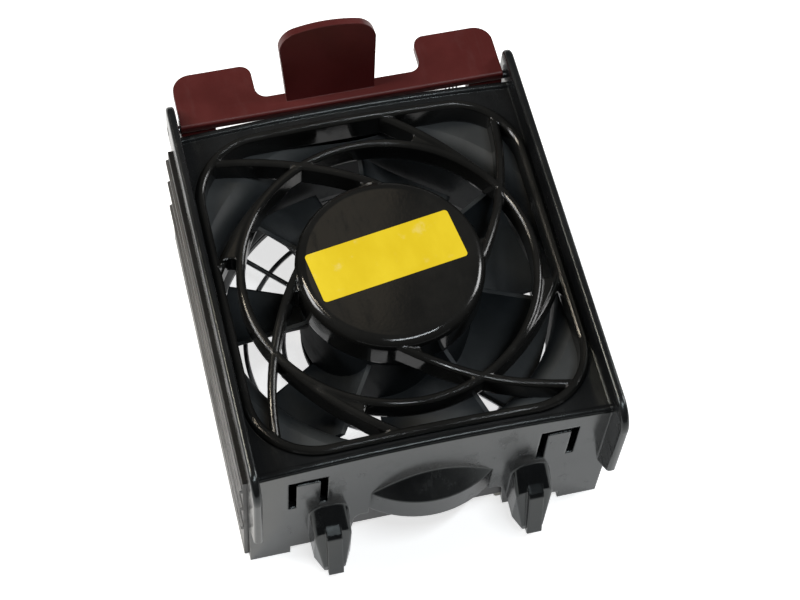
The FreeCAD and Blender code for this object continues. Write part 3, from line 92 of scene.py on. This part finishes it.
# one material, with a Principled shader that the textures feed
class Paint(Sheet):
    def __init__(self, name, constants=None):
        self.material = bpy.data.materials.new(name)
        self.material.use_nodes = True
        super().__init__(self.material.node_tree)
        self.tree.nodes.clear()
        self.shader = self.node("ShaderNodeBsdfPrincipled", None, constants)
        self.output = self.node("ShaderNodeOutputMaterial", None, {
            "Surface": Flow(self, self.shader.outputs["BSDF"])})

    def place(self, stretch=(1, 1, 1)):
        spot = self.node("ShaderNodeTexCoord").outputs["Object"]
        scaled = self.node("ShaderNodeVectorMath", {"operation": "MULTIPLY"}, {
            0: Flow(self, spot), 1: stretch})
        return Flow(self, scaled.outputs[0])

    def noise(self, scale, detail=3.0, rough=0.55, stretch=(1, 1, 1), between=None):
        made = self.node("ShaderNodeTexNoise", None, {
            "Vector": self.place(stretch), "Scale": scale, "Detail": detail, "Roughness": rough})
        grey = Flow(self, made.outputs["Fac"])
        return grey.ramp(*between) if between else grey

    def cells(self, scale):
        made = self.node("ShaderNodeTexVoronoi", None, {"Vector": self.place(), "Scale": scale})
        return Flow(self, made.outputs["Distance"])

    def facingUp(self):
        normal = self.node("ShaderNodeNewGeometry").outputs["Normal"]
        parts = self.node("ShaderNodeSeparateXYZ", None, {"Vector": Flow(self, normal)})
        return Flow(self, parts.outputs["Z"])

    def mix(self, factor, first, second):
        made = self.node("ShaderNodeMix", {"data_type": "RGBA"}, {
            "Factor": factor,
            6: first if isinstance(first, Flow) else (*first, 1),  # inputs 6 and 7 are the colours
            7: second if isinstance(second, Flow) else (*second, 1)})
        return Flow(self, made.outputs[2])  # output 2 is the mixed colour

    # soften is the radius that shading rounds an edge by
    def bump(self, height, depth, strength, soften=None):
        made = self.node("ShaderNodeBump", None, {
            "Height": height, "Distance": depth, "Strength": strength})
        if soften:
            bevel = self.node("ShaderNodeBevel", {"samples": 8}, {"Radius": soften})
            self.feed(made.inputs["Normal"], Flow(self, bevel.outputs["Normal"]))
        self.set("Normal", Flow(self, made.outputs["Normal"]))

    def set(self, key, amount):
        self.feed(self.shader.inputs[key], amount)


def dress(paint, *names):
    for name in names:
        data = nodes[name].data
        data.materials.clear()
        data.materials.append(paint.material)


# a moulded plastic: flow marks, fine grain, hair scratches, dust that lies on what faces up
plasticLook = {
    "flow": {"scale": 38, "detail": 4, "rough": 0.6, "between": (0.35, 0.68)},
    "fine": {"scale": 900, "detail": 2},
    "scuffs": {"scale": 160, "detail": 5, "rough": 0.7, "stretch": (1, 0.25, 0.6),
               "between": (0.52, 0.72)},
    "hairsAlong": {"scale": 700, "detail": 2, "rough": 0.5, "stretch": (1, 0.05, 0.3),
                   "between": (0.66, 0.72)},
    "hairsAcross": {"scale": 650, "detail": 2, "rough": 0.5, "stretch": (0.06, 1, 0.4),
                    "between": (0.67, 0.73)},
    "speckScale": 1400,
    "speckEdge": (0.16, 0.06),
    "speckPatches": {"scale": 60, "detail": 3, "between": (0.5, 0.62)},
    "speckDust": 1.6,
    "dustPatches": {"scale": 90, "detail": 5, "rough": 0.65},
    "dustTilt": (0.3, 0.95),
    "dustEven": 0.35,
    "dustPatchy": 0.65,
    "dustMost": 0.85,
    "roughFrom": {"flow": 0.10, "scuffs": 0.14, "lines": 0.10, "dust": 0.35},
    "grainScale": 2600,
    "fineHeight": 0.4,
    "lineDepth": 0.35,
    "bumpDepth": 0.00003,
    "bumpStrength": 0.6,
}


def plastic(name, tones, rough, grain=0.35, dust=0.2, dustTone=(0.32, 0.31, 0.29), scratch=0.5,
            soften=0.0004, constants=None):
    look = plasticLook
    paint = Paint(name, constants)
    flow = paint.noise(**look["flow"])
    fine = paint.noise(**look["fine"])
    scuffs = paint.noise(**look["scuffs"])
    lines = (paint.noise(**look["hairsAlong"]) + paint.noise(**look["hairsAcross"])) * scratch
    specks = paint.cells(look["speckScale"]).ramp(*look["speckEdge"]) * paint.noise(**look["speckPatches"])
    patchy = look["dustEven"] + look["dustPatchy"] * paint.noise(**look["dustPatches"])
    settled = paint.facingUp().ramp(*look["dustTilt"]) * patchy
    dusty = settled * dust + specks * (dust * look["speckDust"])
    covered = paint.maths("MINIMUM", dusty, look["dustMost"])
    paint.set("Base Color", paint.mix(covered, paint.mix(flow, *tones), dustTone))
    share = look["roughFrom"]
    paint.set("Roughness", rough + share["flow"] * (flow - 0.5) + share["scuffs"] * scuffs
              + share["lines"] * lines + share["dust"] * dusty)
    relief = paint.cells(look["grainScale"]) * grain + fine * look["fineHeight"] - lines * look["lineDepth"]
    paint.bump(relief, look["bumpDepth"], look["bumpStrength"], soften)
    return paint


# a metal: brushed one way, with darker handling marks
metalLook = {
    "brush": {"scale": 1500, "detail": 3, "rough": 0.6},
    "marks": {"scale": 120, "detail": 5, "rough": 0.65, "between": (0.45, 0.7)},
    "darkEven": 0.25,
    "darkFrom": {"marks": 0.5, "brush": 0.15},
    "roughFrom": {"marks": 0.18, "brush": 0.12},
    "bumpDepth": 0.00002,
    "bumpStrength": 0.5,
    "soften": 0.0002,
}


def metal(name, tone, dark, rough, stretch=(1, 1, 0.05)):
    look = metalLook
    paint = Paint(name, {"Metallic": 1.0})
    brush = paint.noise(**look["brush"], stretch=stretch)
    marks = paint.noise(**look["marks"])
    darker = look["darkEven"] + look["darkFrom"]["marks"] * marks - look["darkFrom"]["brush"] * brush
    paint.set("Base Color", paint.mix(darker, tone, dark))
    share = look["roughFrom"]
    paint.set("Roughness", rough + share["marks"] * marks + share["brush"] * brush)
    paint.bump(brush, look["bumpDepth"], look["bumpStrength"], look["soften"])
    return paint


# outer mouldings
shellLook = {
    "tones": ((0.0055, 0.0060, 0.0068), (0.0095, 0.0100, 0.0108)),
    "rough": 0.19, "grain": 0.08, "dust": 0.012, "scratch": 0.15, "soften": 0.0009,
    "constants": {"Specular IOR Level": 0.40, "Specular Tint": (0.93, 1.0, 1.0, 1.0)},
}
dress(plastic("shellBlack", **shellLook), "front_shell")

guardLook = {
    "tones": ((0.0056, 0.0057, 0.0054), (0.0094, 0.0094, 0.0088)),
    "rough": 0.11, "grain": 0.04, "dust": 0.010, "scratch": 0.12, "soften": 0.0013,
}
dress(plastic("guardBlack", **guardLook), "finger_guard")

trayLook = {"tones": ((0.008, 0.008, 0.0085), (0.013, 0.013, 0.0135)), "rough": 0.34, "dust": 0.02}
dress(plastic("trayBlack", **trayLook), "rear_shell")

# fan
frameLook = {
    "tones": ((0.016, 0.0195, 0.022), (0.027, 0.032, 0.035)),
    "rough": 0.58, "grain": 0.7, "dust": 0.08, "scratch": 0.3,
    "constants": {"Specular IOR Level": 0.35},
}
dress(plastic("fanGrey", **frameLook), "fan_frame")

bladeLook = {
    "tones": ((0.014, 0.018, 0.021), (0.024, 0.029, 0.033)),
    "rough": 0.6, "grain": 0.55, "dust": 0.06, "scratch": 0.25,
    "constants": {"Specular IOR Level": 0.3},
}
dress(plastic("bladeGrey", **bladeLook), "impeller")

# latch
latchLook = {
    "tones": ((0.066, 0.0070, 0.0066), (0.086, 0.0098, 0.0092)),
    "rough": 0.42, "dust": 0.02, "dustTone": (0.40, 0.26, 0.22),
    "constants": {"Specular IOR Level": 0.35},
}
dress(plastic("latchMaroon", **latchLook), "latch_handle")
print("shell, fan and latch dressed")

# pads, motor, board and leads
padLook = {"tones": ((0.012, 0.012, 0.012), (0.02, 0.02, 0.02)), "rough": 0.75, "dust": 0.1}
dress(plastic("padBlack", **padLook), "corner_pads", "rotor_magnet")

nylonLook = {"tones": ((0.62, 0.59, 0.5), (0.7, 0.67, 0.58)), "rough": 0.45, "dust": 0.08}
dress(plastic("nylon", **nylonLook), "connector_body", "stator_bobbin")

chipLook = {"tones": ((0.012, 0.012, 0.013), (0.02, 0.02, 0.02)), "rough": 0.55, "dust": 0.05}
dress(plastic("chipBlack", **chipLook), "board_parts")

boardLook = {"tones": ((0.008, 0.07, 0.03), (0.015, 0.1, 0.045)), "rough": 0.3, "dust": 0.05}
dress(plastic("boardGreen", **boardLook), "driver_board")

coilLook = {"tones": ((0.42, 0.14, 0.04), (0.55, 0.22, 0.07)), "rough": 0.3, "dust": 0.02}
dress(plastic("copperLacquer", **coilLook), "stator_coils")

redLook = {"tones": ((0.4, 0.012, 0.01), (0.5, 0.02, 0.015)), "rough": 0.4, "soften": 0.0001}
dress(plastic("leadRed", **redLook), "lead_red")

blackLook = {"tones": ((0.01, 0.01, 0.01), (0.018, 0.018, 0.018)), "rough": 0.4, "soften": 0.0001}
dress(plastic("leadBlack", **blackLook), "lead_black")

blueLook = {"tones": ((0.01, 0.03, 0.25), (0.015, 0.045, 0.32)), "rough": 0.4, "soften": 0.0001}
dress(plastic("leadBlue", **blueLook), "lead_blue")
print("pads, motor, board and leads dressed")

# bare metal
steelLook = {"tone": (0.62, 0.62, 0.63), "dark": (0.34, 0.34, 0.35), "rough": 0.22}
dress(metal("brightSteel", **steelLook), "rotor_shaft", "shaft_clip", "bearing_lower",
      "bearing_upper", "preload_washer", "fan_screws", "latch_rod", "latch_spring")

wireLook = {"tone": (0.55, 0.55, 0.56), "dark": (0.3, 0.3, 0.31), "rough": 0.28}
dress(metal("wireSteel", **wireLook), "rear_guard")

yokeLook = {"tone": (0.42, 0.42, 0.43), "dark": (0.22, 0.22, 0.23), "rough": 0.35}
dress(metal("yokeSteel", **yokeLook), "rotor_yoke")

coreLook = {"tone": (0.3, 0.3, 0.32), "dark": (0.14, 0.14, 0.15), "rough": 0.45,
            "stretch": (0.2, 0.2, 4)}
dress(metal("coreSteel", **coreLook), "stator_core")

brassLook = {"tone": (0.72, 0.5, 0.2), "dark": (0.42, 0.27, 0.1), "rough": 0.28}
dress(metal("tubeBrass", **brassLook), "bearing_tube", "connector_contacts")
print("metal dressed")

# blank sticker: yellow film with a paper tooth, faint wrinkles and rubbed patches
stickerLook = {
    "yellows": ((0.74, 0.54, 0.007), (0.82, 0.62, 0.016)),
    "rubbedTone": (0.8, 0.68, 0.3),
    "rubbedMost": 0.3,
    "tooth": {"scale": 1800, "detail": 3},
    "toothHeight": 0.08,
    "wrinkles": {"scale": 55, "detail": 4, "rough": 0.6, "stretch": (1, 0.5, 1)},
    "wrinkleTones": (0.35, 0.7),
    "rubs": {"scale": 140, "detail": 5, "rough": 0.7, "between": (0.58, 0.74)},
    "rough": 0.34,
    "roughFrom": {"wrinkles": 0.12, "rubs": 0.2},
    "bumpDepth": 0.00012,
    "bumpStrength": 0.6,
    "constants": {"Coat Weight": 0.3, "Coat Roughness": 0.2},
}
sticker = Paint("labelFilm", stickerLook["constants"])
tooth = sticker.noise(**stickerLook["tooth"])
wrinkle = sticker.noise(**stickerLook["wrinkles"])
rubbed = sticker.noise(**stickerLook["rubs"])
yellow = sticker.mix(wrinkle.ramp(*stickerLook["wrinkleTones"]), *stickerLook["yellows"])
sticker.set("Base Color", sticker.mix(
    rubbed * stickerLook["rubbedMost"], yellow, stickerLook["rubbedTone"]))
sticker.set("Roughness", stickerLook["rough"] + stickerLook["roughFrom"]["wrinkles"] * wrinkle
            + stickerLook["roughFrom"]["rubs"] * rubbed)
sticker.bump(wrinkle + stickerLook["toothHeight"] * tooth, stickerLook["bumpDepth"],
             stickerLook["bumpStrength"])
dress(sticker, "blank_label")
print("materials made:", len(bpy.data.materials))

# floor: it glows a little to the camera, so that it looks white and keeps the shadow
floorLook = {
    "size": 8,
    "paper": ((0.86, 0.86, 0.86), (0.89, 0.89, 0.885)),
    "patches": {"scale": 6, "detail": 4, "between": (0.3, 0.7)},
    "rough": 0.85,
    "cameraGlow": 0.72,
    "glossGlow": 0.50,
}
floorPaint = Paint("floorPaint", {"Roughness": floorLook["rough"]})
floorPaint.set("Base Color", floorPaint.mix(
    floorPaint.noise(**floorLook["patches"]), *floorLook["paper"]))
strength = (floorPaint.ray("Is Camera Ray") * floorLook["cameraGlow"]
            + floorPaint.ray("Is Glossy Ray") * floorLook["glossGlow"])
glow = floorPaint.node("ShaderNodeEmission", None, {"Color": (1, 1, 1, 1), "Strength": strength})
both = floorPaint.node("ShaderNodeAddShader", None, {
    0: Flow(floorPaint, floorPaint.shader.outputs["BSDF"]),
    1: Flow(floorPaint, glow.outputs["Emission"])})
floorPaint.feed(floorPaint.output.inputs["Surface"], Flow(floorPaint, both.outputs[0]))
bpy.ops.mesh.primitive_plane_add(size=floorLook["size"], location=(0, 0, cadLow.z))
floor = bpy.context.object
floor.name = "floor"
floor.data.materials.append(floorPaint.material)

# world: white to the camera, a faint fill light to everything else
worldLook = {"tone": (1, 1, 1, 1), "fill": 0.06}
world = bpy.data.worlds.new("studio")
scene.world = world
world.use_nodes = True
air = Sheet(world.node_tree)
backdrop = world.node_tree.nodes["Background"]
air.feed(backdrop.inputs["Color"], worldLook["tone"])
air.feed(backdrop.inputs["Strength"],
         air.maths("MAXIMUM", air.ray("Is Camera Ray"), worldLook["fill"]))

# lamps: a soft box at each side, two strips that draw lines on the crests, a warm glare
lamps = {
    "leftBox": {"spot": (-1.12, 0.30, 0.95), "size": (0.5, 0.5), "power": 11},
    "rightBox": {"spot": (1.20, 0.22, 0.87), "size": (0.5, 0.5), "power": 9},
    "frontStrip": {"spot": (0.20, -0.30, 1.25), "size": (0.60, 0.05), "power": 5,
                   "tone": (0.90, 0.96, 1.0)},
    "highStrip": {"spot": (-0.62, 0.40, 0.95), "size": (0.05, 0.6), "power": 4,
                  "tone": (1.0, 0.88, 0.70)},
    "glare": {"spot": (0.120, 0.600, 1.11), "size": (0.16, 0.16), "power": 0.035,
              "tone": (1.0, 0.84, 0.62), "aim": (-0.017, 0.008, 0.0725)},
}


def softbox(name, spot, size, power, tone=(1, 1, 1), aim=(0, 0, 0.05)):
    data = bpy.data.lights.new(name, "AREA")
    data.shape = "RECTANGLE"
    data.size, data.size_y = size
    data.energy = power
    data.color = tone
    lamp = bpy.data.objects.new(name, data)
    scene.collection.objects.link(lamp)
    lamp.location = spot
    lamp.rotation_euler = (Vector(aim) - Vector(spot)).to_track_quat("-Z", "Y").to_euler()


for name, look in lamps.items():
    softbox(name, **look)

# camera
cameraLook = {
    "eye": (-0.10739, -0.32174, 0.66001),
    "ahead": (0.15915501, 0.45654835, -0.87534753),
    "upward": (0.18300677, 0.85763927, 0.48058653),
    "lens": 91.73,
    "sensorWidth": 36,
    "nearest": 0.05,
}
ahead = Vector(cameraLook["ahead"])
across = ahead.cross(Vector(cameraLook["upward"])).normalized()
lens = bpy.data.cameras.new("camera")
lens.lens = cameraLook["lens"]
lens.sensor_width = cameraLook["sensorWidth"]
lens.clip_start = cameraLook["nearest"]
camera = bpy.data.objects.new("camera", lens)
scene.collection.objects.link(camera)
camera.matrix_world = Matrix((across, across.cross(ahead), -ahead)).transposed().to_4x4()
camera.location = cameraLook["eye"]
scene.camera = camera
scene.view_settings.view_transform = "Standard"
print("stage set")
